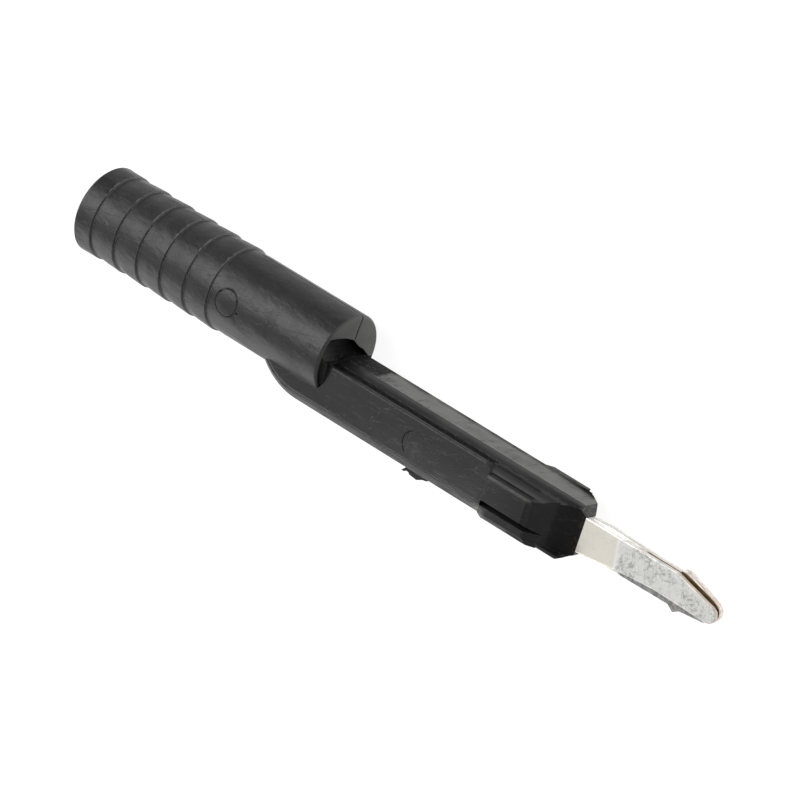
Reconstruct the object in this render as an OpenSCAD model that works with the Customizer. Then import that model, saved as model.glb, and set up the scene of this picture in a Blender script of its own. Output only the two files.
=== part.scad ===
// Test plug adapter: a 4 mm test socket in a ringed grip, joined by a flat
// insulated bar to a two-leaf contact blade for a terminal block.
// Millimetres. X runs along the socket's axis from its mouth to the blade,
// Y runs up the bar's height, and Z comes out of the bar's near broad side.
// The origin is the centre of the socket's mouth.

/* [Grip] */
// Diameter of the smooth part of the grip
grip_d = 8; // [7.8:0.1:8.6]
// Length of the grip from the socket's mouth to its front end
grip_len = 29.75; // [28.8:0.05:31]
// Number of finger rings behind the smooth part
ring_count = 6; // [2:1:6]
// Distance from one finger ring to the next
ring_pitch = 2.86; // [2.4:0.02:2.9]
// Step at the front end of each finger ring
ring_step = 0.19; // [0.05:0.01:0.3]
// Where the foremost ring ends
rings_end = 16.35; // [16:0.05:17]
// How far the rim at the socket's mouth stands above the rings
mouth_flare = 0.03; // [0:0.01:0.2]
// Depth of the hollow round the bar's root, in the grip's front end
hollow_depth = 1.2; // [0.8:0.1:1.5]

/* [Bar] */
// Width of the bar across its broad sides
bar_w = 5.8; // [5.4:0.1:6.2]
// Drop of the bar's top ridge below the socket's axis
bar_drop = 0.16; // [0.1:0.01:0.3]
// Height of the bar
bar_h = 4.96; // [4.8:0.01:5.2]
// Distance from the socket's mouth to the bar's front end
bar_end = 58.55; // [57:0.05:60]
// Radius of the heel, where the bar's bottom curves up into the grip
heel_r = 6.5; // [6:0.1:7]
// How far each broad side's raised panel stands out
panel_rise = 0.3; // [0.1:0.05:0.4]

/* [Collar] */
// Length of the collar behind the bar's front end
collar_len = 9.25; // [8:0.05:10]
// How far the collar's side plates stand out from the bar
plate_rise = 0.1; // [0.04:0.02:0.2]
// How far the collar's bottom rib stands below the bar
rib_drop = 0.05; // [0:0.01:0.2]
// Height of the slot between each side plate and the bottom rib, at its mouth
slot_h = 0.6; // [0.3:0.05:0.7]
// Length of the near side's sloping lead-in
lead_in_len = 4.45; // [3.5:0.05:4.6]
// How far the guide rib and the foot rib stand out from the collar's far side
guide_rise = 0.32; // [0.1:0.02:0.4]

/* [Socket sleeve] */
// Bore of the sleeve, for a 4 mm test plug
socket_d = 4; // [3.6:0.1:4.2]
// Wall of the sleeve
sleeve_wall = 0.5; // [0.3:0.05:0.7]
// Depth of the bore
socket_depth = 22; // [19:0.5:22]

/* [Blade] */
// Thickness of one leaf
leaf_t = 0.62; // [0.4:0.02:0.7]
// Height of the blade where it leaves the bar
blade_h = 3.3; // [2.8:0.05:3.4]
// Length of the blade outside the bar
blade_len = 15.2; // [14:0.1:17]
// Gap between the leaves at the tip
tip_gap = 0.34; // [0.2:0.01:0.4]

/* [Hidden] */

$fn = 96;
arc_steps = 5;
// Reach of cutting outlines past the part, and how far a cut runs past a face
far_out = 5;
past = 1;

// Grip
grip_r = grip_d / 2;
edge_r = 0.3;
mouth_edge = 0.25;
groove_r = grip_r - 0.04;
crest_r = groove_r + ring_step;
crease_r = crest_r - 0.35 * ring_step;
mouth_r = crest_r + mouth_flare;
first_ring_end = rings_end - (ring_count - 1) * ring_pitch;
smooth_start = rings_end + 1.5;

// Bar
half_w = bar_w / 2;
top_y = -bar_drop;
bottom_y = top_y - bar_h;
heel_x = 27.35;
bar_start = heel_x - 6;
core_z = half_w - panel_rise;
panel_bottom_y = bottom_y + 0.85;
panel_step_y = panel_bottom_y - 0.08;
near_fall = 0.17;
lip_y = top_y - 0.04;
lip_r = 0.2;
lip_tilt = 15;
groove_y = top_y - 0.4;
groove_start_z = 1.4;
groove_floor_start_z = 1.85;
groove_floor_end_z = 2;
groove_end_z = 2.6;
far_fall = 0.15;
foot_chamfer = [0.6, 0.42];
foot_edge = 0.1;

// Hollow round the bar's root
funnel_r = grip_r - 0.12;
throat_r = grip_r - 0.85;
funnel_depth = 0.4;
hollow_floor_x = grip_len - hollow_depth;
root_fillet = 1.35;
fillet_foot_y = top_y - near_fall;

// Broken-off moulding gate
stub_x = 39.4;
stub_half_w = 0.7;
stub_reach = 1.22;

// Collar
collar_start = bar_end - collar_len;
plate_z = half_w + plate_rise;
plate_top_y = -1.05;
plate_edge = 0.1;
side_end = bar_end - lead_in_len;
strip_centre = [-2.255, 0.64];
strip_r = 2.22;
strip_start_z = 1.8;
strip_gap = 0.12;
strip_ramp = 1;
slot_top_y = -3.55;
slot_bottom_y = slot_top_y - slot_h;
slot_floor_y = (slot_top_y + slot_bottom_y) / 2;
slot_floor_z = 2.02;
rib_bottom_y = bottom_y - rib_drop;
rib_face_y = -4.75;
rib_run_in = 0.35;
rib_end = side_end + 0.35;
rib_ramp = 1.15;
foot_rib_y = -4.95;
flange_top_y = -4.75;
flange_z = core_z - foot_chamfer[1] + foot_edge;
guide_start = collar_start + 1.5;
guide_end = bar_end - 2.5;
guide_z = half_w + guide_rise;
guide_groove_z = half_w - 0.3;
nose_z = leaf_t + 0.04;
far_nose_z = 0.8;

// Socket sleeve
bore_r = socket_d / 2;
sleeve_r = bore_r + sleeve_wall;
sleeve_end = socket_depth + 2.6;
lug_start = sleeve_end - 1.6;

// Blade
blade_top_y = -0.9;
blade_bottom_y = blade_top_y - blade_h;
tip_x = bar_end + blade_len;
bend_x = bar_end + 3.5;
part_x = bar_end + 6.5;
part_z = tip_gap / 3;
barb_x = tip_x - 4.5;
barb_out = 0.38;
tip_r = 0.8;

// Points along an arc about c from angle a to angle b
function arc(c, r, a, b) =
    [for (i = [0:arc_steps]) let (t = a + (b - a) * i / arc_steps) c + r * [cos(t), sin(t)]];

// The same points in the opposite order, mirrored in their second coordinate
function mirrored(points) =
    [for (i = [len(points) - 1:-1:0]) [points[i][0], -points[i][1]]];

// Broad side of the bar from its panel's lower edge to the bottom, as [y, z] points
function broad_side() = concat(
    arc([panel_bottom_y + panel_rise, core_z], panel_rise, 90, 180),
    [[panel_step_y, core_z]],
    [[bottom_y + foot_chamfer[0], core_z + panel_rise / 5]],
    [[bottom_y + foot_edge / 2, core_z - foot_chamfer[1]]],
    [[bottom_y, core_z - foot_chamfer[1] - foot_edge]]);

// Groove and rounded lip along the top's near edge, as [y, z] points
function near_top_edge() = concat(
    [[top_y - near_fall, groove_start_z]],
    [[groove_y, groove_floor_start_z]],
    [[groove_y, groove_floor_end_z]],
    [[lip_y - 0.03, groove_end_z]],
    arc([lip_y - lip_r, half_w - lip_r], lip_r, -lip_tilt, 90));

// Cross-section of the bar, as [y, z] points
function bar_section() = concat(
    [[top_y, 0]],
    near_top_edge(),
    broad_side(),
    mirrored(broad_side()),
    [[top_y - far_fall, -half_w]],
    [[top_y - far_fall / 4, foot_edge - half_w]]);

// Places a flat [y, z] outline as a prism from x0 to x1
module along_x(x0, x1) {
    translate([x0, 0, 0])
        rotate([90, 0, 90])
            linear_extrude(height = x1 - x0)
                children();
}

// Places a flat [x, z] outline as a prism from y0 up to y1
module along_y(y0, y1) {
    translate([0, y0, 0])
        mirror([0, 1, 0])
            rotate([90, 0, 0])
                linear_extrude(height = y1 - y0)
                    children();
}

// Places a flat [x, y] outline as a prism from z0 up to z1
module along_z(z0, z1) {
    translate([0, 0, z0])
        linear_extrude(height = z1 - z0)
            children();
}

// Round rod or cone along X, from radius r0 at x0 to radius r1 at x1
module rod(r0, x0, r1, x1) {
    translate([x0, 0, 0])
        rotate([0, 90, 0])
            cylinder(r1 = r0, r2 = r1, h = x1 - x0);
}

// Turned grip: flared mouth rim, sawtooth finger rings creased half way along, smooth front
module grip() {
    profile = concat(
        [[0, 0]],
        [[mouth_r - mouth_edge, 0]],
        [[mouth_r, mouth_edge]],
        [[crest_r, first_ring_end]],
        [[groove_r, first_ring_end]],
        [for (i = [1:ring_count - 1]) let (x = first_ring_end + i * ring_pitch) each [
            [crease_r, x - ring_pitch / 2],
            [crest_r, x],
            [groove_r, x]]],
        [[grip_r, smooth_start]],
        arc([grip_r - edge_r, grip_len - edge_r], edge_r, 0, 90),
        [[0, grip_len]]);
    rotate([0, 90, 0])
        rotate_extrude()
            polygon(profile);
}

// Hollow round the bar's root: a shallow funnel, then straight down to its floor
module root_hollow() {
    intersection() {
        union() {
            rod(throat_r, hollow_floor_x, throat_r, grip_len + past);
            rod(throat_r, grip_len - funnel_depth, funnel_r, grip_len);
            rod(funnel_r, grip_len, funnel_r, grip_len + past);
        }
        along_x(hollow_floor_x, grip_len + past)
            polygon([
                [-far_out, far_out],
                [2.1, far_out],
                [2.05, 2.2],
                [1.95, 1.1],
                [1.6, -0.25],
                [0.85, -1.25],
                [0.45, -2.1],
                [-0.35, -3.2],
                [-0.55, -far_out],
                [groove_y, -half_w],
                [groove_y, 0],
                [-far_out, 0]]);
    }
}

// Fillet that carries the bar's top up the hollow's floor
module top_fillet() {
    along_z(foot_edge - half_w, half_w - lip_r)
        polygon(concat(
            [[hollow_floor_x - past, groove_y]],
            [[hollow_floor_x + root_fillet, groove_y]],
            arc([hollow_floor_x + root_fillet, fillet_foot_y + root_fillet], root_fillet, -90, -180),
            [[hollow_floor_x - past, fillet_foot_y + root_fillet]]));
}

// Slanting end of the near panel, cut back from the grip
module panel_end() {
    along_z(core_z, far_out)
        polygon([
            [hollow_floor_x, past],
            [grip_len + 0.8, past],
            [grip_len + 0.8, plate_top_y + 0.3],
            [grip_len + 0.5, -1.9],
            [grip_len, -2.7],
            [hollow_floor_x, -2.7]]);
}

// Bar, with the heel where its bottom curves up into the grip
module bar() {
    heel_y = bottom_y + heel_r;
    difference() {
        along_x(bar_start, bar_end)
            polygon(bar_section());
        panel_end();
        difference() {
            along_y(2 * bottom_y, heel_y)
                polygon([
                    [0, -far_out],
                    [heel_x, -far_out],
                    [heel_x, far_out],
                    [0, far_out]]);
            translate([heel_x, heel_y, 0])
                rotate_extrude()
                    polygon([for (p = bar_section()) [heel_y - p[0], p[1]]]);
        }
    }
}

// Broken-off moulding gate under the bar
module gate_stub() {
    along_z(-stub_half_w, stub_half_w)
        polygon([
            [stub_x + 0.2, bottom_y + 0.2],
            [stub_x + 0.15, bottom_y - 0.6 * stub_reach],
            [stub_x - 0.2, bottom_y - 0.92 * stub_reach],
            [stub_x + 0.1, bottom_y - 0.92 * stub_reach],
            [stub_x + 0.35, bottom_y - 0.78 * stub_reach],
            [stub_x + 0.6, bottom_y - 0.8 * stub_reach],
            [stub_x + 0.75, bottom_y - 0.92 * stub_reach],
            [stub_x + 1.6, bottom_y - stub_reach],
            [stub_x + 1.95, bottom_y - 0.86 * stub_reach],
            [stub_x + 2.2, bottom_y - 0.75 * stub_reach],
            [stub_x + 2.7, bottom_y - 0.66 * stub_reach],
            [stub_x + 3, bottom_y + 0.2]]);
}

// Cross-section of the collar's bottom rib, with the foot rib on its far side, as [y, z] points
function rib_section() = [
    [slot_bottom_y, half_w],
    [rib_face_y, half_w],
    [rib_bottom_y, half_w - 0.24],
    [rib_bottom_y, 0.15 - half_w],
    [foot_rib_y, -guide_z],
    [slot_bottom_y, -guide_z]];

// Side plates, bottom rib and far guide rib that the collar adds to the bar, and the filling
// that narrows the top's groove
module collar_ribs() {
    along_x(collar_start - strip_ramp / 2, bar_end)
        polygon([
            [groove_y - foot_edge, strip_start_z],
            [top_y - near_fall, strip_start_z],
            [top_y - near_fall, half_w - lip_r],
            [groove_y - foot_edge, half_w - lip_r]]);
    for (side = [[0, bar_end], [1, guide_end]])
        mirror([0, 0, side[0]])
            along_x(collar_start, side[1])
                polygon([
                    [plate_top_y, 0],
                    [plate_top_y, plate_z - plate_edge],
                    [plate_top_y - plate_edge, plate_z],
                    [slot_top_y, plate_z],
                    [slot_top_y, 0]]);
    intersection() {
        along_x(collar_start, rib_end + rib_ramp)
            polygon(rib_section());
        along_z(-far_out, far_out)
            polygon([
                [collar_start, slot_bottom_y],
                [collar_start, rib_bottom_y + rib_run_in],
                [collar_start + rib_run_in, rib_bottom_y],
                [rib_end, rib_bottom_y],
                [rib_end + rib_ramp, bottom_y],
                [rib_end + rib_ramp, slot_bottom_y]]);
    }
    along_y(plate_top_y + 0.2, top_y)
        polygon([
            [guide_start, -guide_groove_z],
            [guide_start + 0.8, -guide_z],
            [guide_end - 0.3, -guide_z],
            [guide_end, -guide_groove_z]]);
}

// Groove, slots, lead-in slopes and chamfers cut from the collar
module collar_cuts() {
    strip();
    for (side = [-1, 1])
        along_x(collar_start, bar_end)
            polygon([
                [slot_top_y + 0.1, side * far_out],
                [slot_top_y, side * plate_z],
                [slot_floor_y, side * slot_floor_z],
                [slot_bottom_y, side * plate_z],
                [slot_bottom_y - 0.1, side * far_out]]);
    along_x(guide_start, bar_end)
        polygon([
            [top_y + past, -guide_groove_z],
            [top_y, 0.12 - guide_groove_z],
            [top_y - 0.22, -guide_groove_z],
            [top_y, -0.12 - guide_groove_z]]);
    near_lead_in();
    far_lead_in();
    nose_chamfers();
}

// Rounded strip between the top's groove and the near side plate, with a ramp down to it
// at its rear end and a fine gap along the plate
module strip() {
    intersection() {
        along_x(collar_start - strip_ramp, bar_end + past)
            polygon(concat(
                arc(strip_centre, strip_r, 33, 55),
                [[plate_top_y - strip_gap, half_w - 0.1]],
                [[plate_top_y - strip_gap, half_w - 0.04]],
                [[plate_top_y, half_w - 0.04]],
                [[plate_top_y, far_out]],
                [[far_out, far_out]],
                [[far_out, strip_start_z]],
                [[top_y - near_fall, strip_start_z]]));
        along_z(0, far_out)
            polygon([
                [collar_start - strip_ramp, 0],
                [collar_start + 0.2, -1.2 * strip_ramp],
                [collar_start + 0.2, plate_top_y - past],
                [bar_end + past, plate_top_y - past],
                [bar_end + past, far_out],
                [collar_start - strip_ramp, far_out]]);
    }
}

// Slope of the near side towards the blade, down to the flange at the bar's bottom
module near_lead_in() {
    along_y(flange_top_y, far_out)
        polygon([
            [side_end - 0.3, plate_z],
            [side_end + 0.3, plate_z - 0.15],
            [bar_end, nose_z],
            [bar_end + past, nose_z],
            [bar_end + past, far_out],
            [side_end - 0.3, far_out]]);
    along_y(-2 * far_out, flange_top_y)
        polygon([
            [rib_end, half_w],
            [rib_end + rib_ramp, flange_z],
            [bar_end - 0.6, flange_z],
            [bar_end, nose_z + 0.8],
            [bar_end + past, nose_z + 0.8],
            [bar_end + past, far_out],
            [rib_end, far_out]]);
}

// Shorter slope of the far side towards the blade
module far_lead_in() {
    along_y(-2 * far_out, far_out)
        polygon([
            [guide_end, -guide_z],
            [guide_end + 0.1, -half_w],
            [bar_end - 0.55, -far_nose_z - 0.65],
            [bar_end, -far_nose_z],
            [bar_end + past, -far_nose_z],
            [bar_end + past, -far_out],
            [guide_end, -far_out]]);
}

// Slopes at the top and bottom of the bar's front end
module nose_chamfers() {
    along_z(-far_out, far_out)
        polygon([
            [bar_end - 0.7, top_y],
            [bar_end, top_y - 0.65],
            [bar_end + past, top_y - 0.65],
            [bar_end + past, far_out],
            [bar_end - 0.7, far_out]]);
    along_z(-far_out, far_out)
        polygon([
            [bar_end - 0.9, bottom_y],
            [bar_end, bottom_y + 0.55],
            [bar_end + past, bottom_y + 0.55],
            [bar_end + past, -2 * far_out],
            [bar_end - 0.9, -2 * far_out]]);
}

// Outline of the leaves' tails inside the housing, from the bar's front end back to the sleeve
function tail_outline() = [
    [bar_end, blade_top_y],
    [sleeve_end + 2, blade_top_y],
    [sleeve_end + 0.3, sleeve_r],
    [lug_start, sleeve_r],
    [lug_start, -sleeve_r],
    [sleeve_end, -sleeve_r],
    [sleeve_end + 2, blade_bottom_y],
    [bar_end, blade_bottom_y]];

// Moulded insulating housing: grip, bar and collar in one piece
module housing() {
    color("#2b2b2d")
        difference() {
            union() {
                difference() {
                    grip();
                    root_hollow();
                }
                top_fillet();
                difference() {
                    union() {
                        bar();
                        collar_ribs();
                    }
                    collar_cuts();
                }
                gate_stub();
            }
            rod(sleeve_r, -past, sleeve_r, sleeve_end);
            along_z(-leaf_t, leaf_t)
                polygon(tail_outline());
        }
}

// Turned socket sleeve with a slotted closed end that takes the leaves' lugs
module socket_sleeve() {
    color("#b08d3e")
        difference() {
            rod(sleeve_r, 0, sleeve_r, sleeve_end);
            rod(bore_r, -past, bore_r, socket_depth);
            along_z(-leaf_t, leaf_t)
                polygon(tail_outline());
        }
}

// Near leaf: lower edge cut back beyond the bend, rounded tip that slants on top
module near_leaf() {
    outline = concat(
        tail_outline(),
        [[bend_x, blade_bottom_y + 0.42]],
        [[bend_x + 2.7, blade_bottom_y + 0.68]],
        [[barb_x - 2, blade_bottom_y + 0.84]],
        [[barb_x + 1.6, blade_bottom_y + 0.75]],
        arc([tip_x - tip_r - 0.05, blade_bottom_y + 1.45], tip_r, -100, 75),
        [[barb_x - 0.4, blade_top_y + 0.03]]);
    color("silver")
        intersection() {
            along_z(0, leaf_t)
                polygon(outline);
            along_y(-2 * far_out, far_out)
                polygon([
                    [0, 0],
                    [part_x, 0],
                    [part_x, part_z],
                    [tip_x, part_z],
                    [tip_x, leaf_t - part_z],
                    [bend_x, leaf_t],
                    [0, leaf_t]]);
        }
}

// Far leaf: full height, parted from the near one towards its tip, with a barb on each edge
module far_leaf() {
    outline = concat(
        tail_outline(),
        [[barb_x - 0.8, blade_bottom_y + 0.05]],
        [[barb_x - 0.1, blade_bottom_y - barb_out]],
        [[barb_x + 0.5, blade_bottom_y]],
        [[tip_x - 1.4, blade_bottom_y + 0.25]],
        arc([tip_x - tip_r - 0.35, blade_bottom_y + 1.5], tip_r + 0.15, -65, 70),
        [[barb_x + 0.1, blade_top_y + barb_out]],
        [[barb_x - 0.3, blade_top_y + 0.3]],
        [[barb_x - 0.5, blade_top_y]],
        [[part_x - 1.5, blade_top_y + 0.08]],
        [[bend_x - 1, blade_top_y + 0.16]]);
    color("silver")
        intersection() {
            along_z(-2 * leaf_t, 0)
                polygon(outline);
            along_y(-2 * far_out, far_out)
                polygon([
                    [0, 0],
                    [bend_x, 0],
                    [barb_x, -part_z],
                    [tip_x, part_z - tip_gap],
                    [tip_x, part_z - tip_gap - leaf_t],
                    [barb_x, -part_z - leaf_t],
                    [bend_x, -leaf_t],
                    [0, -leaf_t]]);
        }
}

housing();
socket_sleeve();
near_leaf();
far_leaf();
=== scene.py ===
import math
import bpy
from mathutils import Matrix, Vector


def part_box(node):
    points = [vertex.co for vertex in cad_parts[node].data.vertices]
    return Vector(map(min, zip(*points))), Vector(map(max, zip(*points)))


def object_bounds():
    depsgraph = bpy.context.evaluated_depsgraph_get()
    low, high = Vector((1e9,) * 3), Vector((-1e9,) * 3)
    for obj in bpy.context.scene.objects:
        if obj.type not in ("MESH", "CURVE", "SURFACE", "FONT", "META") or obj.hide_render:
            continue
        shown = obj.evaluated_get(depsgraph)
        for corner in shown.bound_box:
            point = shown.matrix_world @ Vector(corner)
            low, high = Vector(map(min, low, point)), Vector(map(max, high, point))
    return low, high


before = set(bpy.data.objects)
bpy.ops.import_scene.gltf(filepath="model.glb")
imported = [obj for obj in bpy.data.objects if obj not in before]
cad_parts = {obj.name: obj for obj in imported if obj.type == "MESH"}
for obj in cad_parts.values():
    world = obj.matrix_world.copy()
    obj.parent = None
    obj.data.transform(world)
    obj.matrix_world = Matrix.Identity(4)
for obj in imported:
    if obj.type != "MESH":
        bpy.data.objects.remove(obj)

from types import SimpleNamespace

import bmesh
import bpy
from mathutils import Matrix, Vector

bl_info = {
    "name": "Test plug adapter",
    "version": (1, 0, 0),
    "blender": (4, 5, 0),
    "location": "3D View > Sidebar > Test Plug Adapter",
    "description": "Dresses a test plug adapter and sets up its studio",
    "category": "Object",
}

CAD_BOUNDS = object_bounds()
MM = 0.001

# Places along the adapter, as x in millimetres from the socket's mouth
RINGS_END = 17.0
GRIP_END = 29.75
STRIP_START = 33.2
COLLAR_START = 48.8
PLATE_END = 54.1
LEAD_IN_END = 56.0
NOSE_START = 57.0
BAR_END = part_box("housing")[1].x / MM
LEAVES_PART = 64.6
TIP_SLANT_START = 68.85
TIP_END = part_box("far_leaf")[1].x / MM

# Heights of the upright adapter, as y in millimetres from the socket's axis
LEAF_TOP = -0.87
PLATE_TOP = -1.15
BAR_BOTTOM = -5.12

# Fall of the near leaf's slanted tip for each millimetre along the adapter
TIP_SLANT = 0.261

# Bands across the bar's top, as spans of z in millimetres
STRIP_BAND = (-2.7, 0.0)
SLOPE_BAND = (0.05, 1.35)
GROOVE_BAND = (1.4, 2.6)
LIP_SHADOW_BAND = (1.6, 1.95)
LIP_BAND = (2.3, 2.9)

# Lines along the bar's top, as places in z in millimetres
FAR_EDGE_Z = -2.8
FAR_GAP_Z = -2.5
RIDGE_Z = -0.02
INNER_LIP_Z = 1.38
GROOVE_LINE_Z = 1.62

# Marks on the near side, as x and y of their middles in millimetres
GRIP_PIN = (18.5, 0.2)
GRIP_NICK = (19.93, -0.15)
BAR_PIN = (41.06, -2.5)
PIN_FLECKS = (41.3, -3.0)

# Where the broken-off gate stands, as a span of x in millimetres
GATE_SPAN = (39.0, 42.6)

# Where the near leaf's tin is worn most: x and y of the middle, half length, half height
WORN_TIN = (
    (63.5, -3.0, 1.5, 0.8),
    (65.3, -1.3, 0.9, 0.6),
    (68.1, -1.7, 0.9, 0.6),
    (71.3, -2.7, 1.9, 0.8),
)

BEVEL_SAMPLES = 6
PLASTIC_IOR = 1.5
FLOOR_MIDDLE_X = 30.0 * MM

# Soft lights far away: direction, tightness and strength
LOBES = (
    ((-0.50, 0.35, 0.79), 12.0, 5.2),
    ((-0.50, -0.85, 0.15), 6.0, 2.2),
)
AMBIENT = 0.13


# Shader graph in Python expressions

class Wire:
    """An output socket that adds Math or Vector Math nodes when it is used in an expression."""

    def __init__(self, graph, socket):
        self.graph = graph
        self.socket = socket

    def _with(self, operation, other, swapped=False):
        first, second = (other, self) if swapped else (self, other)
        if self.is_vector() or (isinstance(other, Wire) and other.is_vector()):
            return self.graph.vector(operation, first, second)
        return self.graph.math(operation, first, second)

    def is_vector(self):
        return self.socket.type in {"VECTOR", "RGBA"}

    def __add__(self, other):
        return self._with("ADD", other)

    def __radd__(self, other):
        return self._with("ADD", other, swapped=True)

    def __sub__(self, other):
        return self._with("SUBTRACT", other)

    def __rsub__(self, other):
        return self._with("SUBTRACT", other, swapped=True)

    def __mul__(self, other):
        return self._with("MULTIPLY", other)

    def __rmul__(self, other):
        return self._with("MULTIPLY", other, swapped=True)

    def __truediv__(self, other):
        return self._with("DIVIDE", other)

    def __rtruediv__(self, other):
        return self._with("DIVIDE", other, swapped=True)

    def __pow__(self, other):
        return self.graph.math("POWER", self, other)

    def __rpow__(self, other):
        return self.graph.math("POWER", other, self)

    def __neg__(self):
        return self * -1.0

    def __abs__(self):
        return self.graph.math("ABSOLUTE", self)


class Graph:
    """Adds nodes to one node tree and links them."""

    def __init__(self, tree):
        self.tree = tree
        tree.nodes.clear()

    def node(self, kind, settings=None, inputs=None):
        """Adds a node, first with its settings, then with the values or links of its sockets."""
        made = self.tree.nodes.new(kind)
        for name, value in (settings or {}).items():
            setattr(made, name, value)
        for key, value in (inputs or {}).items():
            socket = made.inputs[key]
            if isinstance(value, Wire):
                self.tree.links.new(value.socket, socket)
            elif hasattr(socket.default_value, "__len__") and not hasattr(value, "__len__"):
                socket.default_value = (value,) * len(socket.default_value)
            else:
                socket.default_value = value
        return made

    def out(self, node, name=0):
        return Wire(self, node.outputs[name])

    def math(self, operation, first, second=0.0):
        return self.out(self.node("ShaderNodeMath", {"operation": operation}, {0: first, 1: second}))

    def vector(self, operation, first, second=0.0):
        node = self.node("ShaderNodeVectorMath", {"operation": operation}, {0: first, 1: second})
        return self.out(node, "Value" if operation in {"DOT_PRODUCT", "LENGTH"} else "Vector")

    def clamp(self, value):
        return self.out(self.node("ShaderNodeClamp", {}, {"Value": value}))

    def wrap(self, value, span):
        """Repeats value every span, from half a span below zero to half a span above."""
        settings = {"operation": "WRAP"}
        return self.out(self.node("ShaderNodeMath", settings, {0: value, 1: span / 2, 2: -span / 2}))

    def distance(self, dx, dy):
        return self.math("SQRT", dx * dx + dy * dy)

    def smooth(self, value, low, high, start=0.0, end=1.0):
        """Eases from start to end as value goes from low to high."""
        node = self.node(
            "ShaderNodeMapRange",
            {"interpolation_type": "SMOOTHSTEP"},
            {"Value": value, "From Min": low, "From Max": high, "To Min": start, "To Max": end},
        )
        return self.out(node)

    def inside(self, value, low, high, soft):
        """1 where value lies between low and high, easing out over soft."""
        return self.smooth(value, low - soft, low) * (1.0 - self.smooth(value, high, high + soft))

    def line(self, value, half_width):
        """1 where value is near zero, falling to 0 at half_width."""
        return 1.0 - self.smooth(abs(value), 0.0, half_width)

    def mix_colour(self, factor, first, second):
        node = self.node(
            "ShaderNodeMix",
            {"data_type": "RGBA"},
            {"Factor": factor, 6: rgba(first), 7: rgba(second)},
        )
        return self.out(node, 2)

    def join(self, x, y, z):
        return self.out(self.node("ShaderNodeCombineXYZ", {}, {0: x, 1: y, 2: z}))

    def split(self, vector):
        node = self.node("ShaderNodeSeparateXYZ", {}, {0: vector})
        return [self.out(node, i) for i in range(3)]

    def noise(self, vector, scale, detail=3.0, roughness=0.55):
        node = self.node(
            "ShaderNodeTexNoise",
            {},
            {"Vector": vector, "Scale": scale, "Detail": detail, "Roughness": roughness},
        )
        return self.out(node, 0)

    def hairlines(self, vector, scale, width, amount):
        """Sparse thin lines, drawn out along the axis in which vector is squeezed."""
        field = self.noise(vector, scale, 2.0, 0.5)
        gate = self.smooth(self.noise(vector + 17.3, scale * 0.37, 1.0), 1.0 - amount, 1.05 - amount)
        return self.line(field - 0.5, width) * gate

    def facing(self):
        """The flat surface's own normal."""
        return self.out(self.node("ShaderNodeNewGeometry"), "True Normal")

    def rounded(self, radius):
        """The normal with the edges rounded off to radius, in metres."""
        return self.out(self.node("ShaderNodeBevel", {"samples": BEVEL_SAMPLES}, {"Radius": radius}))

    def bump(self, height, depth, normal=None):
        """The normal with height on it, where a height of 1 is depth, in metres."""
        inputs = {"Height": height, "Distance": depth, "Strength": 1.0}
        if normal is not None:
            inputs["Normal"] = normal
        return self.out(self.node("ShaderNodeBump", {}, inputs))

    def surface(self, **inputs):
        """A surface shader with the named sockets."""
        named = {key.replace("_", " "): value for key, value in inputs.items()}
        return self.out(self.node("ShaderNodeBsdfPrincipled", {}, named))

    def finish(self, shader, over=None, factor=0.0):
        """Adds the material's output, with a second shader over the first where factor is 1."""
        if over is not None:
            shader = self.out(self.node("ShaderNodeMixShader", {}, {0: factor, 1: shader, 2: over}))
        self.node("ShaderNodeOutputMaterial", {}, {"Surface": shader})


def rgba(tone):
    """A colour with its fourth value, or a wire as it is."""
    return tone if isinstance(tone, Wire) or len(tone) == 4 else (*tone, 1.0)


def scaled(tone, factor):
    """A darker or lighter colour."""
    return tuple(value * factor for value in tone)


def new_material(name):
    """A material with an empty graph, and its place in millimetres in the part's frame."""
    material = bpy.data.materials.new(name)
    material.use_nodes = True
    graph = Graph(material.node_tree)
    at = graph.out(graph.node("ShaderNodeTexCoord"), "Object") * (1.0 / MM)
    return material, graph, at


def dress(node, material):
    """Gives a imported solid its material."""
    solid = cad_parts[node]
    solid.data.materials.clear()
    solid.data.materials.append(material)


# Sizes and colours

def length(name, description, default, low=0.0, high=1.0):
    """A length, given in millimetres and kept in metres."""
    return bpy.props.FloatProperty(
        name=name, description=description, default=default * MM, min=low * MM, max=high * MM,
        subtype="DISTANCE", unit="LENGTH", precision=5)


def share(name, description, default):
    return bpy.props.FloatProperty(
        name=name, description=description, default=default, min=0.0, max=1.0, subtype="FACTOR")


def colour(name, description, default):
    return bpy.props.FloatVectorProperty(
        name=name, description=description, default=default, min=0.0, max=1.0,
        size=3, subtype="COLOR")


def point(name, description, default):
    """A place, given in millimetres and kept in metres."""
    return bpy.props.FloatVectorProperty(
        name=name, description=description, default=[v * MM for v in default],
        size=3, subtype="XYZ", unit="LENGTH")


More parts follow.
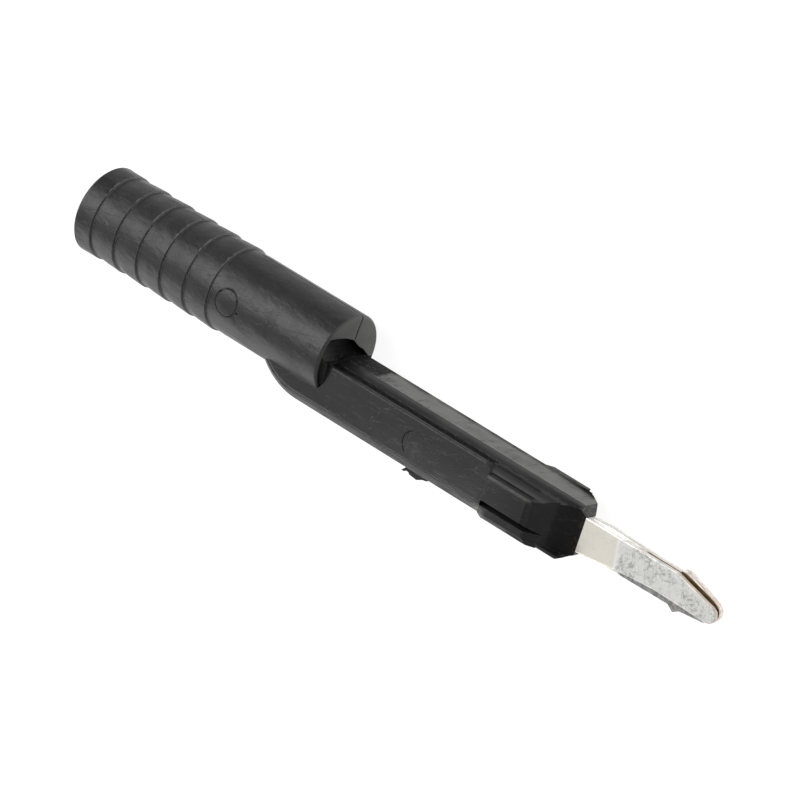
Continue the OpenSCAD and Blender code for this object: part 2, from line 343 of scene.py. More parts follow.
class HousingSettings(bpy.types.PropertyGroup):
    plastic: colour("Plastic", "Colour of the moulded plastic", (0.0095, 0.0095, 0.0098))
    # The rubbed colour also paints light inside the hollow at the grip's end.
    rubbed_and_painted_light: colour(
        "Rubbed plastic", "Colour where handling has dulled the plastic", (0.028, 0.028, 0.028))
    milled: colour("Milled plastic", "Colour of the milled strip on top", (0.0092, 0.0098, 0.0012))
    # The scuffed colour also paints light in the hollow, on the grip's end face and along the plate's
    # edge.
    scuffed_and_painted_light: colour("Scuffed plastic", "Colour of scratches and worn edges", (0.095, 0.095, 0.091))
    # The crest colour is the pale tone of painted light: highlights on the rings' crests and painted light
    # on the steps, their feet, the end rim and the side hollow; the collar's corner also gets pale streaks
    # of it.
    crest: colour("Worn crest", "Colour of the finger rings' worn front edges", (0.27, 0.27, 0.265))
    # The mark colour also paints the shade in the collar's gaps, along the groove and under the lip.
    mark: colour("Mould marks", "Colour of the mould's lines and of the gaps", (0.003, 0.003, 0.003))
    residue: colour(
        "Residue", "Colour of the brown specks where the blade leaves the bar", (0.046, 0.040, 0.022))
    gloss_level: share("Gloss level", "Strength of the plastic's reflections", 0.5)
    matt_level: share("Matt level", "Strength of reflections in the hollow and on the dull faces", 0.1)
    roughness: share("Roughness", "Roughness of the moulded surface", 0.40)
    grain: length("Grain", "Size of the moulded surface's fine grain", 0.16)
    seam_width: length("Seam width", "Half width of the mould's parting line along the grip", 0.3)
    ring_end: length("Last ring's end", "Where the foremost finger ring ends", 16.35, 10.0, 20.0)
    ring_pitch: length("Ring pitch", "Distance from one finger ring to the next", 2.86, 1.0, 5.0)
    pin_mark_radius: length(
        "Pin mark radius", "Radius of the round marks of the mould's pins", 1.22, 0.5, 2.0)
    edge_radius: length("Edge radius", "Rounding of the moulded edges", 0.05)


class SleeveSettings(bpy.types.PropertyGroup):
    brass: colour("Brass", "Colour of the turned brass", (0.72, 0.52, 0.22))
    roughness: share("Roughness", "Roughness of the turned brass", 0.28)
    feed: length("Feed", "Distance from one turning groove to the next", 0.09)


class LeafSettings(bpy.types.PropertyGroup):
    tin: colour("Tin", "Colour of the mottled tin", (0.84, 0.84, 0.815))
    warm_tin: colour(
        "Warm tin", "Colour of the smooth tin next to the housing", (0.92, 0.885, 0.80))
    bright: colour("Bright edge", "Colour of the cut and rubbed edges", (0.95, 0.92, 0.86))
    # The bend colour is a painted highlight along the leaf's bend, where the smooth tin ends.
    bend: colour("Bend", "Colour of the line where the smooth tin ends", (1.0, 0.99, 0.97))
    # The stain colour also paints the shade on the far leaf below the near leaf.
    stain_and_shade: colour("Stain", "Colour of the tin's dull spots", (0.28, 0.28, 0.275))
    copper: colour("Copper", "Colour of the bare metal at the tip's cut edges", (0.88, 0.68, 0.58))
    # The tarnish colour is brown tarnish, darkened as painted shade in the gap between the leaves.
    tarnish_and_shade: colour("Tarnish", "Colour between the leaves", (0.26, 0.17, 0.08))
    roughness: share("Roughness", "Roughness of the tin", 0.42)
    smooth_end: length(
        "Smooth end", "Where the smooth tin gives way to the mottled tin", 62.4, 50.0, 80.0)
    edge_radius: length("Edge radius", "Rounding of the leaves' edges", 0.14)


class StageSettings(bpy.types.PropertyGroup):
    camera_place: point("Camera place", "Where the camera stands", (330.63, 217.23, 452.44))
    camera_aim: point("Camera aim", "A point in the middle of the camera's view", (27.39, -7.59, -13.88))
    camera_roll: bpy.props.FloatProperty(
        name="Camera roll", description="Turn of the camera about its own view",
        default=math.radians(-102.1), subtype="ANGLE")
    lens: bpy.props.FloatProperty(
        name="Lens", description="Focal length on a sensor 36 mm wide", default=300.46, unit="CAMERA")
    floor_colour: colour("Floor", "Colour of the floor", (0.30, 0.30, 0.30))
    floor_glow: bpy.props.FloatProperty(
        name="Floor glow", description="Strength of the light that the floor gives off", default=0.90)
    glow_radius: length(
        "Glow radius", "How far from the adapter the floor keeps its full glow", 64.0, 0.0, 1000.0)
    glow_fade: length("Glow fade", "Distance over which the floor's glow falls off", 180.0, 0.0, 1000.0)
    floor_size: bpy.props.FloatProperty(
        name="Floor size", description="Side of the floor", default=3.0, unit="LENGTH")


SETTINGS = {
    "adapter_housing": HousingSettings,
    "adapter_sleeve": SleeveSettings,
    "adapter_leaves": LeafSettings,
    "adapter_stage": StageSettings,
}


# The housing's finish

def moulded_plastic(own):
    """Satin black plastic with mould marks, worn edges, a milled strip on top, fine scratches, and painted
    light and shade.
    """
    material, g, at = new_material("moulded_black_plastic")
    spot = survey(g, own, at)
    marks = SimpleNamespace(
        **top_marks(g, spot), **collar_marks(g, spot), **grip_marks(g, own, spot), **side_marks(g, spot),
        mould=mould_marks(g, own, spot), scratches=plastic_scratches(g, spot))
    marks.light = scuffs_and_painted_light(g, own, spot, marks)
    marks.black = black_marks_and_shade(g, spot, marks)

    tint = plastic_tint(g, own, spot, marks)
    normal = g.bump(plastic_relief(g, spot, marks), 0.03 * MM, g.rounded(own.edge_radius))
    rough = g.clamp(
        own.roughness + spot.dull * 0.06 + (spot.grain - 0.5) * 0.12
        + marks.light * 0.1 + marks.torn * 0.2)
    satin = g.surface(
        Base_Color=tint, Roughness=rough - marks.milled * 0.1, Normal=normal,
        Coat_Weight=marks.milled * 0.2, IOR=PLASTIC_IOR, Specular_IOR_Level=own.gloss_level)
    matt = g.surface(
        Base_Color=tint, Roughness=g.clamp(rough + 0.35), Normal=normal,
        IOR=PLASTIC_IOR, Specular_IOR_Level=own.matt_level)
    g.finish(satin, matt, matt_share(g, spot, marks))
    return material


def survey(g, own, at):
    """A point's place, the face that it is on, and the noise that the housing's marks share."""
    x, y, z = g.split(at)
    facing = g.facing()
    facing_x, facing_y, facing_z = g.split(facing)
    radius = g.distance(y, z)
    on_grip = (1.0 - g.smooth(x, GRIP_END - 0.3, GRIP_END + 0.1)) * g.inside(radius, 3.85, 4.45, 0.2)
    on_heel = g.smooth(abs(facing_z), 0.9, 0.97) * (1.0 - g.smooth(abs(z), 3.1, 3.4))
    on_grip = on_grip * (1.0 - on_heel)
    on_top = g.smooth(facing_y, 0.8, 0.95) * g.smooth(x, GRIP_END - 1.2, GRIP_END - 0.4)
    swell = g.noise(g.join(x * 0.6 + y * 0.3, y, z), 0.55, 2.5, 0.5)
    return SimpleNamespace(
        at=at, x=x, y=y, z=z, radius=radius,
        facing=facing, facing_x=facing_x, facing_y=facing_y, facing_z=facing_z,
        on_grip=on_grip,
        on_top=on_top * (1.0 - on_grip),
        on_lip=g.smooth(facing_y, 0.4, 0.6),
        on_side=g.smooth(facing_z, 0.7, 0.95),
        on_collar=g.inside(x, COLLAR_START + 0.6, PLATE_END, 0.2),
        waver=g.noise(at, 0.9, 2.0) - 0.5,
        grain=g.noise(at, MM / own.grain, 3.0, 0.6),
        swell=swell,
        dull=g.smooth(swell, 0.42, 0.72),
        ripple=g.noise(g.join(x * 0.7 + y * 0.5, y, z), 1.7, 2.5, 0.55),
        streaks=g.noise(at * (0.35, 2.2, 2.2), 1.6, 3.0, 0.6),
        broken=g.smooth(g.noise(at, 1.9, 3.0), 0.42, 0.6),
        specks=g.smooth(g.noise(at, 3.6, 2.0), 0.60, 0.66))


def top_marks(g, spot):
    """The milled strip, its rough root, the slope, the groove, the lip and the lines between them, one of
    them painted shade along the groove.
    """
    x, z = spot.x, spot.z
    fresh = g.smooth(x - (STRIP_START + spot.waver * 1.2), -0.25, 0.25)
    milled = g.inside(z, *STRIP_BAND, 0.15) * spot.on_top * fresh
    shade = g.smooth(g.noise(spot.at, 0.35, 2.0), 0.35, 0.55, 0.2, 0.6)
    groove = g.inside(z, *GROOVE_BAND, 0.05) * g.smooth(spot.facing_y, 0.6, 0.8)
    # Painted shade: a broken black line along the groove under the lip.
    groove_line = g.line(z + spot.waver * 0.12 - GROOVE_LINE_Z, 0.24)
    groove_line = groove_line * g.inside(x, GRIP_END + 0.5, COLLAR_START, 0.4)
    root = spot.on_top * (1.0 - fresh) * g.smooth(z, -2.9, -2.7)
    root_end = g.smooth(z, -0.1, 0.2) * g.smooth(x, GRIP_END, GRIP_END + 1.2)
    patchy = g.clamp(spot.specks + spot.broken * 0.35 + (1.0 - fresh) * spot.broken)
    return dict(
        milled=milled,
        cuts=cutter_arcs(g, x, z, spot.at) * milled,
        far_strip=g.inside(z, -2.9, -2.55, 0.5) * milled * shade,
        far_edge=g.line(z - FAR_EDGE_Z, 0.22) * spot.on_top * g.smooth(spot.streaks, 0.5, 0.6),
        root=root * g.clamp(1.0 - root_end),
        ridge=g.line(z - RIDGE_Z, 0.10) * spot.on_top * patchy,
        near_slope=g.inside(z, *SLOPE_BAND, 0.15) * spot.on_top,
        inner_lip=g.line(z - INNER_LIP_Z, 0.10) * spot.on_top * spot.broken,
        groove=groove * g.inside(x, GRIP_END, COLLAR_START, 0.5),
        groove_line=groove_line * g.smooth(spot.y, -1.5, -1.2),
        lip=g.inside(z, *LIP_BAND, 0.1) * spot.on_lip * g.inside(x, GRIP_END, COLLAR_START, 0.3),
        nose=g.smooth(x, BAR_END - 0.8, BAR_END - 0.6) * g.smooth(spot.facing_y, 0.5, 0.65))


def cutter_arcs(g, x, z, at):
    """Fine arcs that the cutter left across the milled strip."""
    from_middle = z + 1.4
    arc = x + z * 0.3 - from_middle * from_middle * 0.15
    cuts = g.line(g.noise(g.join(arc, z * 0.15, 3.0), 0.9, 3.0, 0.6) - 0.5, 0.035)
    return cuts * g.smooth(g.noise(at, 0.7, 2.0), 0.42, 0.58)


def collar_marks(g, spot):
    """The collar's plate with a painted highlight on its edge, corner, gaps with painted shade, lead-in
    and shaded end, and the residue round the blade.
    """
    x, y, z = spot.x, spot.y, spot.z
    near_end = g.smooth(x, 49.5, 54.0) * (spot.on_side * 0.3 + 0.1) + g.smooth(x, LEAD_IN_END, 57.5) * 0.25
    lead_in = g.inside(x, PLATE_END + 0.2, LEAD_IN_END, 0.5) * g.inside(spot.facing_x, 0.3, 0.7, 0.1)
    # Painted shade in the gap between the top strip and the far rib at the collar.
    far_gap = (1.0 - g.smooth(z, FAR_GAP_Z, -1.2)) * g.smooth(z, -2.9, -2.7)
    far_gap = far_gap * g.smooth(x, 51.4, NOSE_START) * (1.0 - g.smooth(x, NOSE_START, NOSE_START + 0.6))
    corner = g.inside(x, COLLAR_START + 0.3, COLLAR_START + 0.6, 0.9) * g.smooth(-y, 4.1, 4.5)
    # Painted shade: a black line in the channel between the strip and the collar's plate.
    plate_gap = g.line(y - (PLATE_TOP + 0.12), 0.09) * g.smooth(z, 2.3, 2.4)
    residue = g.smooth(x, BAR_END - 0.65, BAR_END - 0.1)
    return dict(
        near_end=near_end * g.smooth(z, 0.3, 0.8),
        rib_end=g.smooth(x, 54.8, 56.6) * (1.0 - g.smooth(z, -2.6, -1.9)),
        lead_in=lead_in * g.smooth(z, 0.5, 1.0),
        lip_shadow=g.inside(z, *LIP_SHADOW_BAND, 0.08) * spot.on_lip * spot.on_collar,
        far_gap=far_gap * g.smooth(y, -0.6, -0.4),
        corner=corner * g.smooth(spot.facing_z, 0.4, 0.6),
        # Painted highlight along the top edge of the collar's plate.
        plate_edge=g.line(y - (PLATE_TOP - 0.12), 0.28) * spot.on_side * spot.on_collar,
        plate_gap=plate_gap * spot.on_collar,
        residue=residue * g.smooth(g.noise(spot.at, 2.8, 3.0), 0.5, 0.62))


def grip_marks(g, own, spot):
    """The rings' steps and crests with painted light, the grip's end face and rim with painted light, the
    hollow behind them, and painted light on the bar's side in that hollow.
    """
    x, y, z = spot.x, spot.y, spot.z
    hollow = g.inside(x, GRIP_END - 1.4, GRIP_END - 0.3, 0.15) * (1.0 - g.smooth(spot.radius, 3.2, 3.8))
    # Painted light on the bar's side inside the hollow, where the grip's shell shades it.
    side_hollow = g.inside(x, GRIP_END - 1.4, GRIP_END - 0.1, 0.3) * g.inside(z, 2.4, 2.75, 0.1)
    # Painted light on the rounded rim round the hollow at the grip's end.
    end_rim = g.inside(spot.facing_x, 0.25, 0.85, 0.15) * g.inside(x, GRIP_END - 0.6, GRIP_END, 0.05)
    # Painted light on the grip's flat end face, which is lifted to grey.
    end_face = g.smooth(spot.facing_x, 0.8, 0.95) * g.inside(x, GRIP_END - 0.1, GRIP_END + 0.1, 0.05)
    # Painted light: the rings' forward step faces are lifted to a pale tone over the shade that falls on
    # them.
    ring_step = g.smooth(spot.facing_x, 0.5, 0.8) * spot.on_grip
    # Painted highlights on the rings' crests, and painted light on the foot in front of each step.
    crest, foot = crest_highlights(g, own, spot)
    return dict(
        hollow=hollow * g.smooth(y, -2.6, -1.2),
        side_hollow=side_hollow * spot.on_side * g.smooth(y, -2.6, -2.3),
        end_rim=end_rim * g.smooth(spot.radius, 3.3, 3.6),
        end_face=end_face,
        ring_step=ring_step * (1.0 - g.smooth(x, RINGS_END, RINGS_END + 0.5)),
        shaded=g.smooth(y / spot.radius, 0.78, 0.88) * g.smooth(z, -0.6, 0.0) * spot.on_grip,
        crest=crest * spot.on_grip,
        foot=foot * spot.on_grip)


def crest_highlights(g, own, spot):
    """Short painted highlights on the finger rings' front edges, and painted light on the foot in front of
    each.
    """
    from_ring = g.wrap(spot.x - own.ring_end / MM, own.ring_pitch / MM)
    on_rings = 1.0 - g.smooth(spot.x, RINGS_END - 0.4, RINGS_END - 0.2)
    edge = g.line(from_ring + 0.05, 0.09) * on_rings
    edge = edge * g.inside(spot.y / spot.radius, 0.62, 0.88, 0.06) * g.smooth(spot.z, 0.5, 1.0)
    return edge * spot.broken, g.inside(from_ring, 0.0, 0.13, 0.04) * on_rings


def side_marks(g, spot):
    """Handling marks, chamfer, scores and flecks on the bar's near side, and the torn gate."""
    x, y = spot.x, spot.y
    handled = spot.on_side * g.smooth(x, 33.0, 40.0) * g.smooth(-y, 1.4, 3.8)
    scored = g.inside(y, -4.1, -3.4, 0.15) * g.inside(x, 44.5, 48.3, 1.2)
    scored = scored * g.smooth(g.noise(spot.at * (0.22, 4.5, 1.0), 1.3, 2.0), 0.53, 0.60)
    chamfer = g.inside(spot.facing_y, -0.9, -0.4, 0.1) * g.inside(spot.facing_z, 0.3, 0.9, 0.1)
    from_pin = g.distance(x - PIN_FLECKS[0], y - PIN_FLECKS[1])
    pin_flecks = (1.0 - g.smooth(from_pin, 0.7, 1.2)) * spot.on_side
    return dict(
        handled=handled * (1.0 - g.smooth(x, 48.5, 49.5)),
        scored=scored * (spot.broken * 0.6 + 0.4),
        chamfer=chamfer * g.smooth(x, GRIP_END, GRIP_END + 1.25),
        pin_flecks=pin_flecks * g.smooth(g.noise(spot.at, 4.0, 3.0), 0.5, 0.6),
        torn=g.smooth(-y, 0.1 - BAR_BOTTOM, 0.2 - BAR_BOTTOM) * g.inside(x, *GATE_SPAN, 0.1))


def mould_marks(g, own, spot):
    """Dark lines of the mould: the parting line on the grip and its end, and two pins' round marks."""
    x, y, z, waver, broken = spot.x, spot.y, spot.z, spot.waver, spot.broken
    seam = g.line(z + 0.5 + waver * 0.25, own.seam_width / MM) * g.smooth(y, 1.7, 1.9)
    seam = seam * g.smooth(x, RINGS_END - 0.5, RINGS_END + 1.0)
    seam = seam * (1.0 - g.smooth(x, GRIP_END - 0.3, GRIP_END - 0.1))
    end_seam = g.line(z + y * 0.085 + 0.22 + waver * 0.15, 0.15) * g.smooth(y, 1.5, 1.7)
    end_seam = end_seam * g.smooth(x, GRIP_END - 0.2, GRIP_END - 0.05)
    pin_radius = own.pin_mark_radius / MM
    on_grip = mark_ring(g, spot, GRIP_PIN, pin_radius, 0.14) * (broken * 0.45 + 0.55)
    nick = 1.0 - g.smooth(g.distance(x - GRIP_NICK[0], y - GRIP_NICK[1]), 0.06, 0.22)
    on_grip = g.clamp(on_grip + nick) * g.smooth(z, 3.0, 3.4)
    on_bar = mark_ring(g, spot, BAR_PIN, pin_radius, 0.11) * g.inside(z, 2.7, 3.0, 0.05)
    rear_half = g.smooth(BAR_PIN[0] - 0.16 - x, 0.0, 0.5, 0.25, 1.2)
    on_bar = on_bar * rear_half * (broken * 0.8 + 0.2)
    return g.clamp(seam * 0.75 + end_seam + on_grip + on_bar)


def mark_ring(g, spot, middle, radius, half_width):
    """The fine round line that a mould's pin leaves."""
    from_middle = g.distance(spot.x - middle[0], spot.y - middle[1])
    return g.line(from_middle - radius + spot.waver * 0.1, half_width)


def plastic_scratches(g, spot):
    """Hairlines: along the bar, aslant on its side and round the grip."""
    x, y, z, at = spot.x, spot.y, spot.z, spot.at
    along = g.hairlines(at * (0.25, 3.0, 3.0), 1.1, 0.014, 0.42)
    slant = g.hairlines(g.join(x * 0.2 + y * 0.5, y * 1.6 - x * 3.6, z), 0.8, 0.012, 0.5)
    slant = slant * spot.on_side * g.inside(x, 36.0, 49.0, 1.5) * 1.5
    fine = g.hairlines(g.join(x * 0.3 + y * 0.2, y * 4.5 - x * 1.4, z), 0.9, 0.012, 0.5) * spot.on_side
    across = g.hairlines(at * (4.0, 0.4, 0.4), 0.9, 0.012, 0.4) * spot.on_grip
    return g.clamp(along * 0.4 + slant + fine * 0.7 + across * 0.5)


def scuffs_and_painted_light(g, own, spot, marks):
    """How much each point is scratched, rubbed or scuffed to grey, or lifted to grey as painted light in
    the hollow and on the grip's end face, and as a painted highlight along the plate's edge.
    """
    wide = g.rounded(own.edge_radius * 2.5)
    worn = g.smooth(1.0 - g.vector("DOT_PRODUCT", wide, spot.facing), 0.02, 0.15)
    worn = worn * (spot.broken * 0.8 + 0.2) * g.smooth(spot.x, GRIP_END, GRIP_END + 0.5)
    return g.clamp(
        marks.scratches * 0.6 + worn * 0.3 + marks.ridge * 0.9 + marks.inner_lip * 0.6
        # painted light on the grip's end face, streaked
        + marks.end_face * (0.8 + spot.streaks * 0.45)
        # painted light in the upper part of the hollow behind the grip's end
        + marks.hollow * g.smooth(spot.z, 0.5, 2.6) * 0.6
        + spot.specks * marks.root * 0.7 + marks.scored * 0.8 + marks.pin_flecks * 0.3
        + marks.nose * g.smooth(g.noise(spot.at, 4.5, 3.0), 0.45, 0.65)
        # painted highlight along the plate's top edge
        + marks.plate_edge * (spot.broken * 0.3 + 0.7))


def black_marks_and_shade(g, spot, marks):
    """How black each point is: the mould's lines, painted shade in the gaps, and the lines along the bar's
    top, with painted shade along the groove and under the lip.
    """
    return g.clamp(
        marks.mould + marks.far_edge + marks.plate_gap + marks.lip_shadow * 0.6
        + marks.far_gap * g.line(spot.z - FAR_GAP_Z, 0.3) * 0.7
        + marks.groove_line * (spot.broken * 0.4 + 0.4))


def plastic_tint(g, own, spot, marks):
    """The plastic's colour: rubbed, milled, scuffed, lifted by painted light and highlights, stained, and
    marked black by mould lines and painted shade.
    """
    # Rubbed tone from random dullness, handling and the lead-in, and painted light in the hollow.
    rubbed_and_painted_light = g.clamp(spot.dull * 0.3 + marks.handled * 0.8 + marks.hollow * 0.2 + marks.lead_in * 0.6)
    # Painted light: ring steps, crest highlights, feet, end rim and side hollow take the pale crest tone;
    # the collar's corner takes pale streaks of it.
    pale = g.clamp(
        marks.ring_step * 0.95 + marks.crest * 0.5 + marks.foot * 0.35 + marks.end_rim * 0.25
        + marks.side_hollow * 0.7 + marks.corner * (spot.broken * 0.3 + spot.streaks * 0.5))
    tint = g.mix_colour(rubbed_and_painted_light, tuple(own.plastic), tuple(own.rubbed_and_painted_light))
    tint = g.mix_colour(marks.milled, tint, tuple(own.milled))
    tint = g.mix_colour(marks.light, tint, tuple(own.scuffed_and_painted_light))
    tint = g.mix_colour(pale, tint, tuple(own.crest))
    tint = g.mix_colour(marks.residue * 0.7, tint, tuple(own.residue))
    # Black for the mould's lines, and painted shade in the gaps, the groove and under the lip.
    return g.mix_colour(marks.black * 0.85, tint, tuple(own.mark))


def plastic_relief(g, spot, marks):
    """The height of the grain, the swells, the cutter's streaks, the mould's marks and the specks."""
    smooth_grip = spot.on_grip * (1.0 - marks.end_face)
    cut_face = g.clamp(marks.near_slope + marks.groove + marks.root)
    height = spot.grain * 0.10 + (spot.swell * 4.5 + spot.ripple * 1.3) * (smooth_grip * 0.8 + 0.2)
    height = height + spot.streaks * cut_face * 1.2 - marks.mould * 1.2 - marks.scratches * 0.35
    return height + spot.specks * 0.5 * (marks.root + marks.torn)


def matt_share(g, spot, marks):
    """How much each point reflects as matt plastic in place of satin plastic."""
    return g.clamp(
        marks.black * 0.9 + (spot.swell - 0.5) * 0.5
        + marks.near_slope * g.smooth(spot.z, 0.0, 1.1, 0.25, 0.8) + marks.far_strip
        + marks.groove * 0.55 + marks.root * 0.85 + marks.lip * (0.15 + spot.broken * 0.3)
        + marks.cuts * 0.35 + marks.nose * (0.6 - spot.ripple)
        + marks.far_gap * 0.85 + marks.near_end + marks.rib_end * 0.6
        + marks.hollow * 0.9 + marks.shaded * 0.35
        + marks.chamfer * g.smooth(spot.streaks, 0.40, 0.62) * 0.45 + marks.torn * 0.4)


# The metals' finishes

def turned_brass(own):
    """Brass with fine turning grooves along the bore and rings on its end face."""
    material, g, at = new_material("turned_brass")
    x, y, z = g.split(at)
    on_end = g.smooth(abs(g.split(g.facing())[0]), 0.6, 0.8)
    turn = 2.0 * math.pi / (own.feed / MM)
    grooves = g.math("SINE", x * turn) * (1.0 - on_end) + g.math("SINE", g.distance(y, z) * turn) * on_end
    cloud = g.noise(at, 0.8, 4.0)
    fine = g.noise(at * (9.0, 1.0, 1.0), 1.4, 2.0)
    normal = g.bump(grooves * 0.5 + fine, 0.006 * MM)
    tint = g.mix_colour(g.smooth(cloud, 0.4, 0.75) * 0.5, tuple(own.brass), scaled(own.brass, 0.62))
    rough = g.clamp(own.roughness + (cloud - 0.5) * 0.25 + (fine - 0.5) * 0.1)
    g.finish(g.surface(Base_Color=tint, Metallic=1.0, Roughness=rough, Normal=normal))
    return material


def tinned_copper(own):
    """Tin that is warm and smooth at the root and mottled beyond, with bright cut edges, a painted
    highlight at the bend and painted shade between the leaves.
    """
    material, g, at = new_material("tinned_copper")
    x, y, z = g.split(at)
    facing = g.facing()
    cut = 1.0 - g.smooth(abs(g.split(facing)[2]), 0.5, 0.8)
    between = (1.0 - g.smooth(abs(z), 0.25, 0.4)) * (1.0 - cut)
    waver = g.noise(at, 0.8, 3.0) - 0.5
    from_bend = x + y * 0.12 + waver * 0.6 - own.smooth_end / MM
    beyond = g.smooth(from_bend, -0.25, 0.25)
    # Painted highlight: a bright line along the bend where the smooth tin ends.
    bend = g.line(from_bend + 0.15, 0.3) * 0.8
    mottle = g.noise(at, 2.6, 5.0, 0.7)
    pits = g.smooth(g.noise(g.join(x + y * 0.5, y * 1.7 - x * 0.6, z), 2.2, 6.0, 0.82), 0.46, 0.60)
    spots = tin_spots(g, x, y, at, pits) * (0.06 + beyond * 0.94)
    lines = tin_lines(g, x, y, z, at)

    tin = g.mix_colour(beyond, tuple(own.warm_tin), tuple(own.tin))
    tin = g.mix_colour(g.smooth(mottle, 0.35, 0.7) * beyond * 0.35, tin, scaled(own.tin, 0.8))
    tin = g.mix_colour(spots * 0.6, tin, tuple(own.stain_and_shade))
    tin = g.mix_colour(lines * (0.15 + beyond * 0.35), tin, tuple(own.stain_and_shade))
    tin = g.mix_colour(bend, tin, tuple(own.bend))
    tin = g.mix_colour(between * beyond, tin, inner_tint(g, own, x, y, mottle))
    rounded = g.rounded(own.edge_radius)
    burnished = g.smooth(1.0 - g.vector("DOT_PRODUCT", rounded, facing), 0.01, 0.10) * (1.0 - between)
    tint = g.mix_colour(g.clamp(cut + burnished * 0.8), tin, edge_tint(g, own, x, z, at, cut, pits))
    rough = g.clamp(own.roughness + (mottle - 0.5) * beyond * 0.3 + spots * 0.2 - (1.0 - beyond) * 0.06)
    height = (mottle * 0.6 - spots * 0.5 - lines * 0.5) * beyond + g.noise(at, 9.0, 2.0) * 0.15
    normal = g.bump(height, 0.02 * MM, rounded)
    g.finish(g.surface(Base_Color=tint, Metallic=1.0, Roughness=rough, Normal=normal))
    return material


def tin_spots(g, x, y, at, pits):
    """Dull spots, which crowd where the tin is worn."""
    worn = 0.0
    for middle_x, middle_y, half_length, half_height in WORN_TIN:
        away = g.distance((x - middle_x) / half_length, (y - middle_y) / half_height)
        worn = worn + 1.0 - g.smooth(away, 0.5, 1.3)
    patches = g.smooth(g.noise(at + 4.0, 0.7, 2.0) * 0.6 + g.clamp(worn) * 0.15 + 0.14, 0.42, 0.56)
    return g.clamp(pits * (patches * 0.85 + 0.15) + patches * 0.12)


def tin_lines(g, x, y, z, at):
    """Fine scratches in three directions."""
    return g.clamp(
        g.hairlines(at * (0.4, 3.2, 1.0), 1.3, 0.02, 0.5)
        + g.hairlines(g.join(x * 0.6 + y, y * 0.5 - x * 2.2, z), 1.2, 0.02, 0.5)
        + g.hairlines(g.join(x * 2.6 + y * 0.8, y * 0.4 - x * 0.3, z), 1.3, 0.02, 0.5))


def inner_tint(g, own, x, y, mottle):
    """The faces between the leaves: bright, tarnish brown darkened as painted shade below the tip's top
    edge, and mottled painted shade low down where the far leaf shows below the near leaf.
    """
    low = 1.0 - g.smooth(y, -3.3, -2.6)
    above_edge = y - LEAF_TOP + g.math("MAXIMUM", x - TIP_SLANT_START, 0.0) * TIP_SLANT
    reach = g.smooth(x, 68.6, 69.6) * 0.16
    deep = (1.0 - g.smooth(above_edge - reach, 0.0, 0.12)) * g.smooth(x, LEAVES_PART, LEAVES_PART + 0.8)
    # Tarnish brown, darkened as painted shade, in the gap below the tip's top edge.
    tint = g.mix_colour(deep, tuple(own.bright), tuple(own.tarnish_and_shade))
    # Painted shade on the far leaf's face below the near leaf, mottled.
    tint = g.mix_colour(low, tint, scaled(own.stain_and_shade, 1.35))
    return g.mix_colour(g.smooth(mottle, 0.40, 0.58) * low * 0.8, tint, scaled(own.stain_and_shade, 0.7))


def edge_tint(g, own, x, z, at, cut, pits):
    """The cut edges: bright, coppery towards the tip, with grey lines drawn along them."""
    bare = g.smooth(g.noise(at * (0.6, 2.0, 5.0), 1.6, 3.0), 0.35, 0.6) * g.smooth(x, 65.5, TIP_END - 1.0)
    drawn = g.smooth(g.noise(at * (0.25, 1.0, 6.0), 1.5, 3.0), 0.50, 0.62)
    tint = g.mix_colour(bare, tuple(own.bright), tuple(own.copper))
    tint = g.mix_colour(pits * 0.3, tint, tuple(own.stain_and_shade))
    tint = g.mix_colour(g.smooth(abs(z), 0.30, 0.58, 0.35, 0.0) * cut, tint, tuple(own.stain_and_shade))
    return g.mix_colour(g.clamp(drawn * 0.4 + g.line(z, 0.08) * 0.8) * cut, tint, tuple(own.stain_and_shade))


# Stage

def build_floor(own):
    """A pale plain floor that the adapter lies on."""
    mesh = bpy.data.meshes.new("floor")
    form = bmesh.new()
    bmesh.ops.create_grid(form, x_segments=2, y_segments=2, size=own.floor_size / 2)
    form.to_mesh(mesh)
    form.free()
    floor = bpy.data.objects.new("floor", mesh)
    floor.location = (FLOOR_MIDDLE_X, 0.0, CAD_BOUNDS[0].z)
    bpy.context.scene.collection.objects.link(floor)
    material, g, at = new_material("pale_floor")
    tint = g.mix_colour(g.noise(at, 0.02, 2.0), tuple(own.floor_colour), scaled(own.floor_colour, 0.97))
    away = g.vector("LENGTH", at) * MM
    glow = g.smooth(away, own.glow_radius, own.glow_radius + own.glow_fade, 1.0, 0.3)
    g.finish(g.surface(
        Base_Color=tint, Roughness=0.9, Specular_IOR_Level=0.1,
        Emission_Color=g.join(glow, glow, glow), Emission_Strength=own.floor_glow))
    mesh.materials.append(material)


def light_studio():
    """Soft light from above and behind the adapter, and a weaker one from below the bar's side."""
    world = bpy.data.worlds.new("studio")
    world.use_nodes = True
    g = Graph(world.node_tree)
    direction = g.out(g.node("ShaderNodeTexCoord"), "Generated")
    total = AMBIENT
    for towards, tightness, strength in LOBES:
        aim = Vector(towards).normalized()
        facing = g.math("MAXIMUM", g.vector("DOT_PRODUCT", direction, tuple(aim)), 0.0)
        total = facing ** tightness * strength + total
    light = g.node("ShaderNodeBackground", {}, {"Color": (1.0, 1.0, 1.0, 1.0), "Strength": total})
    g.node("ShaderNodeOutputWorld", {}, {"Surface": g.out(light)})
    bpy.context.scene.world = world


def place_camera(own):
    """Puts the camera where the photograph's camera stood."""
    data = bpy.data.cameras.new("camera")
    data.sensor_width = 36.0
    data.lens = own.lens
    data.clip_start = 0.01
    data.clip_end = 20.0
    camera = bpy.data.objects.new("camera", data)
    back = Vector(own.camera_place) - Vector(own.camera_aim)
    turn = back.to_track_quat("Z", "Y").to_matrix().to_4x4() @ Matrix.Rotation(own.camera_roll, 4, "Z")
    camera.matrix_world = Matrix.Translation(own.camera_place) @ turn
    bpy.context.scene.collection.objects.link(camera)
    bpy.context.scene.camera = camera


# Operators

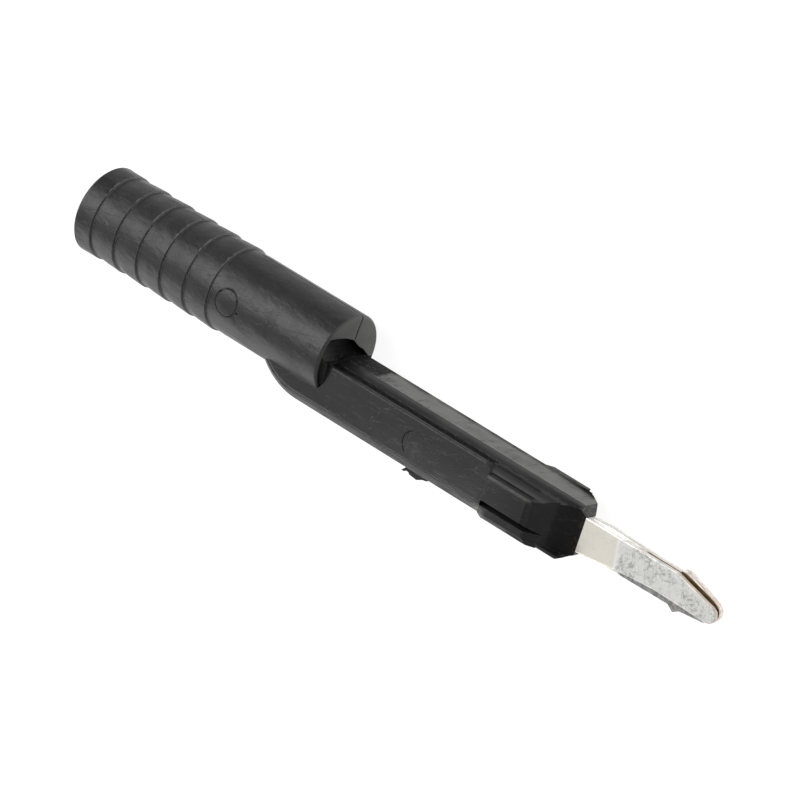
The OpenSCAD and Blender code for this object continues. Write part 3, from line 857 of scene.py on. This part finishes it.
class DressHousing(bpy.types.Operator):
    """Gives the moulded housing its plastic"""
    bl_idname = "adapter.dress_housing"
    bl_label = "Dress housing"

    def execute(self, context):
        dress("housing", moulded_plastic(context.scene.adapter_housing))
        return {"FINISHED"}


class DressSleeve(bpy.types.Operator):
    """Gives the socket sleeve its turned brass"""
    bl_idname = "adapter.dress_sleeve"
    bl_label = "Dress socket sleeve"

    def execute(self, context):
        dress("socket_sleeve", turned_brass(context.scene.adapter_sleeve))
        return {"FINISHED"}


class DressLeaves(bpy.types.Operator):
    """Gives both contact leaves their tinned copper"""
    bl_idname = "adapter.dress_leaves"
    bl_label = "Dress contact leaves"

    def execute(self, context):
        material = tinned_copper(context.scene.adapter_leaves)
        for node in ("near_leaf", "far_leaf"):
            dress(node, material)
        return {"FINISHED"}


class SetStage(bpy.types.Operator):
    """Builds the floor, the light and the camera"""
    bl_idname = "adapter.set_stage"
    bl_label = "Set stage"

    def execute(self, context):
        own = context.scene.adapter_stage
        context.scene.view_settings.view_transform = "Standard"
        place_camera(own)
        build_floor(own)
        light_studio()
        return {"FINISHED"}


OPERATORS = (SetStage, DressHousing, DressSleeve, DressLeaves)


class AdapterPanel(bpy.types.Panel):
    """Lists the adapter's steps"""
    bl_idname = "VIEW3D_PT_test_plug_adapter"
    bl_label = "Test plug adapter"
    bl_space_type = "VIEW_3D"
    bl_region_type = "UI"
    bl_category = "Test Plug Adapter"

    def draw(self, context):
        for operator in OPERATORS:
            self.layout.operator(operator.bl_idname)


CLASSES = (*SETTINGS.values(), *OPERATORS, AdapterPanel)


def register():
    for made in CLASSES:
        bpy.utils.register_class(made)
    for name, group in SETTINGS.items():
        setattr(bpy.types.Scene, name, bpy.props.PointerProperty(type=group))


def unregister():
    for name in SETTINGS:
        delattr(bpy.types.Scene, name)
    for made in reversed(CLASSES):
        bpy.utils.unregister_class(made)


def main():
    register()
    bpy.ops.adapter.set_stage()
    bpy.ops.adapter.dress_housing()
    bpy.ops.adapter.dress_sleeve()
    bpy.ops.adapter.dress_leaves()
    bpy.context.view_layer.update()


if __name__ == "__main__":
    main()
